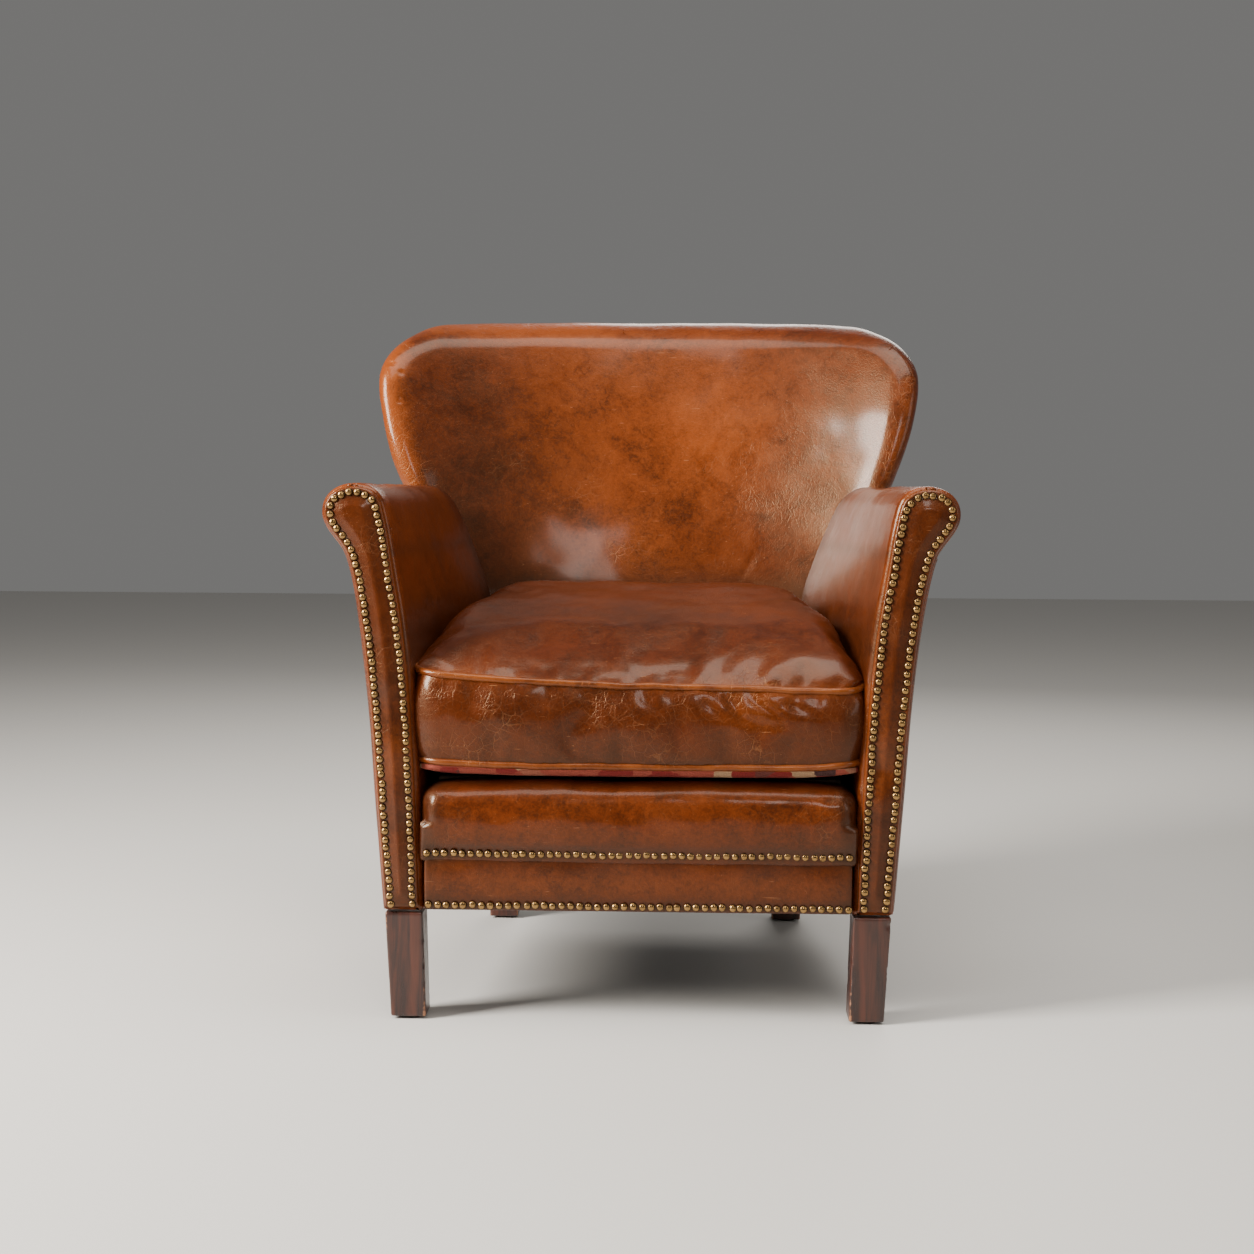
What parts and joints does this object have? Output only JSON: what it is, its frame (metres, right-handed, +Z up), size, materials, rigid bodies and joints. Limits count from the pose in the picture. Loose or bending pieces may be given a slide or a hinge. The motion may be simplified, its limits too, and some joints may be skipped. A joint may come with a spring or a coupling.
{
  "type": "club chair",
  "caption": "Worn leather club chair with a curved flared back, scroll arms edged with dome-headed nails, a loose seat cushion and square tapered wooden legs.",
  "frame": {"origin": "on the floor under the middle of the chair's bounding box", "axes": "+Z up, -Y out of the chair's front, +X to the right of someone facing the front"},
  "size_m": [0.7118, 0.7179, 0.827],
  "materials": {
    "body_leather": "waxed, worn, mottled orange-brown",
    "cushion_leather": "waxed, worn, creased and glossy",
    "welt_leather": "waxed, rubbed lighter",
    "tapestry": "woven red, salmon and cream",
    "nail_brass": "antique, dark and polished on the domes",
    "leg_wood": "dark red-brown stain, semi-gloss, chipped edges",
    "frame_wood": "sawn, unfinished",
    "spring_steel": "plain wire",
    "padding": "foam and fibre wadding",
    "black_cloth": "plain non-woven cloth",
    "glide_felt": "dense felt"
  },
  "bodies": {
    "root": {"arm_board_left": "frame_wood", "arm_board_right": "frame_wood", "arm_cover_left": "body_leather", "arm_cover_right": "body_leather", "arm_facing_left": "body_leather", "arm_facing_right": "body_leather", "arm_nail_trim_left": "nail_brass", "arm_nail_trim_right": "nail_brass", "arm_pad_left": "padding", "arm_pad_right": "padding", "arm_post_left": "frame_wood", "arm_post_right": "frame_wood", "back_cross_rail": "frame_wood", "back_pad": "padding", "back_post_left": "frame_wood", "back_post_right": "frame_wood", "back_wing_board_left": "frame_wood", "back_wing_board_right": "frame_wood", "band_nail_trim": "nail_brass", "cushion_boxing": "cushion_leather", "cushion_fill": "padding", "cushion_top_panel": "cushion_leather", "cushion_underside": "tapestry", "cushion_welt_bottom": "welt_leather", "cushion_welt_top": "welt_leather", "deck_cloth": "black_cloth", "deck_pad": "padding", "dust_cloth": "black_cloth", "front_band": "body_leather", "front_corner_block_left": "frame_wood", "front_corner_block_right": "frame_wood", "front_leg_glide_left": "glide_felt", "front_leg_glide_right": "glide_felt", "front_leg_left": "leg_wood", "front_leg_right": "leg_wood", "front_lip_cover": "body_leather", "front_lip_pad": "padding", "front_rail": "frame_wood", "inside_back_cover": "body_leather", "lip_nail_trim": "nail_brass", "outside_arm_left": "body_leather", "outside_arm_right": "body_leather", "outside_back_panel": "body_leather", "rear_corner_block_left": "frame_wood", "rear_corner_block_right": "frame_wood", "rear_leg_glide_left": "glide_felt", "rear_leg_glide_right": "glide_felt", "rear_leg_left": "leg_wood", "rear_leg_right": "leg_wood", "rear_rail": "frame_wood", "side_rail_left": "frame_wood", "side_rail_right": "frame_wood", "top_rail": "frame_wood", "zigzag_spring_1": "spring_steel", "zigzag_spring_2": "spring_steel", "zigzag_spring_3": "spring_steel", "zigzag_spring_4": "spring_steel"}
  },
  "joints": []
}
